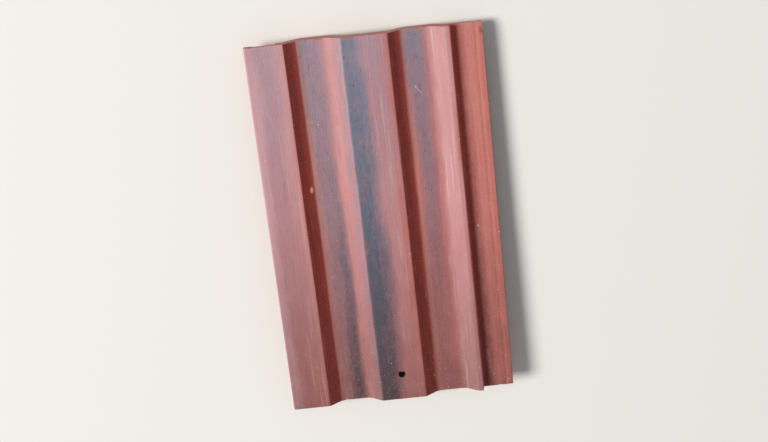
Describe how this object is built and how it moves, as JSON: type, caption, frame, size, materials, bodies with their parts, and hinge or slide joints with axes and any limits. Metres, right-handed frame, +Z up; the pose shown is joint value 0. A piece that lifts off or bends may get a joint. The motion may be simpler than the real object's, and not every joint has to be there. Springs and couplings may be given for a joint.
{
  "type": "clay roof tile",
  "caption": "Interlocking roof tile with troughs between flat raised rolls, a low side lock strip, hanging nibs and a nail hole; red with lengthwise grey streaks.",
  "frame": {"origin": "middle of the tile's footprint, on the floor that it lies on", "axes": "+Y up the roof from tail to head, +X across the course from the lock strip to the overlapping edge, +Z up; the tile lies face up on its nibs and tail bar, so its face leans 1.44 degrees about X"},
  "size_m": [0.229, 0.3814, 0.0364],
  "materials": {
    "fired_clay": "matt"
  },
  "bodies": {
    "root": {"roof_tile": "fired_clay"}
  },
  "joints": []
}
